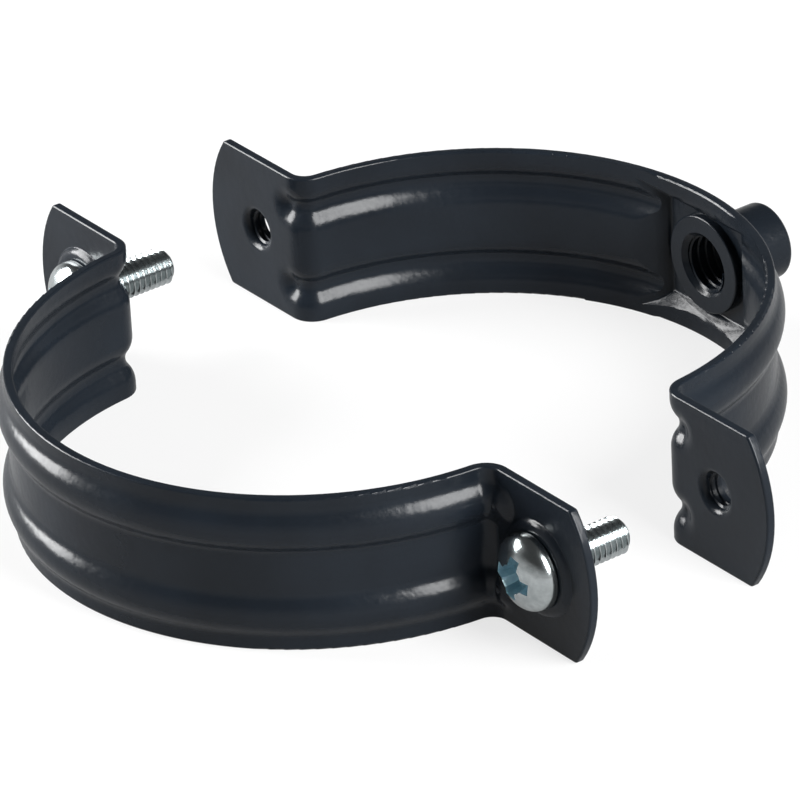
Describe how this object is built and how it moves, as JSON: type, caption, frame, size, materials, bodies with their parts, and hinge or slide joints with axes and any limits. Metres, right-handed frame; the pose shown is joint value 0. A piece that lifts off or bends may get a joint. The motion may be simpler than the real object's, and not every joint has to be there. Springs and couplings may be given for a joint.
{
  "type": "downpipe clip",
  "caption": "Two-part beaded strip-steel downpipe clip, shown open: pipe-gripping halves with ears and clamping screws, and a threaded boss that takes the wall bolt.",
  "frame": {"origin": "where the pipe's axis in the rear half crosses the wall boss's axis, half way up the strip", "axes": "+Z along the pipe's axis, +Y towards the wall along the boss's axis, +X to the right seen from the front"},
  "size_m": [0.1366, 0.1342, 0.025],
  "materials": {
    "anthracite_coat": "semi-gloss powder coat",
    "zinc_plate": "bright zinc plate"
  },
  "bodies": {
    "rear": {"rear_half": "anthracite_coat", "wall_boss": "anthracite_coat"},
    "front": {"front_half": "anthracite_coat"},
    "screw_right": {"right_screw": "zinc_plate"},
    "screw_left": {"left_screw": "zinc_plate"}
  },
  "joints": [
    {"name": "front_close", "type": "slide", "parent": "rear", "child": "front", "axis": [0, 1, 0], "range_m": [0, 0.03]},
    {"name": "right_screw_turn", "type": "hinge", "parent": "front", "child": "screw_right", "pos_m": [0.0563, -0.033, 0], "axis": [0, 1, 0], "continuous": true},
    {"name": "left_screw_turn", "type": "hinge", "parent": "front", "child": "screw_left", "pos_m": [-0.0563, -0.033, 0], "axis": [0, 1, 0], "continuous": true}
  ]
}
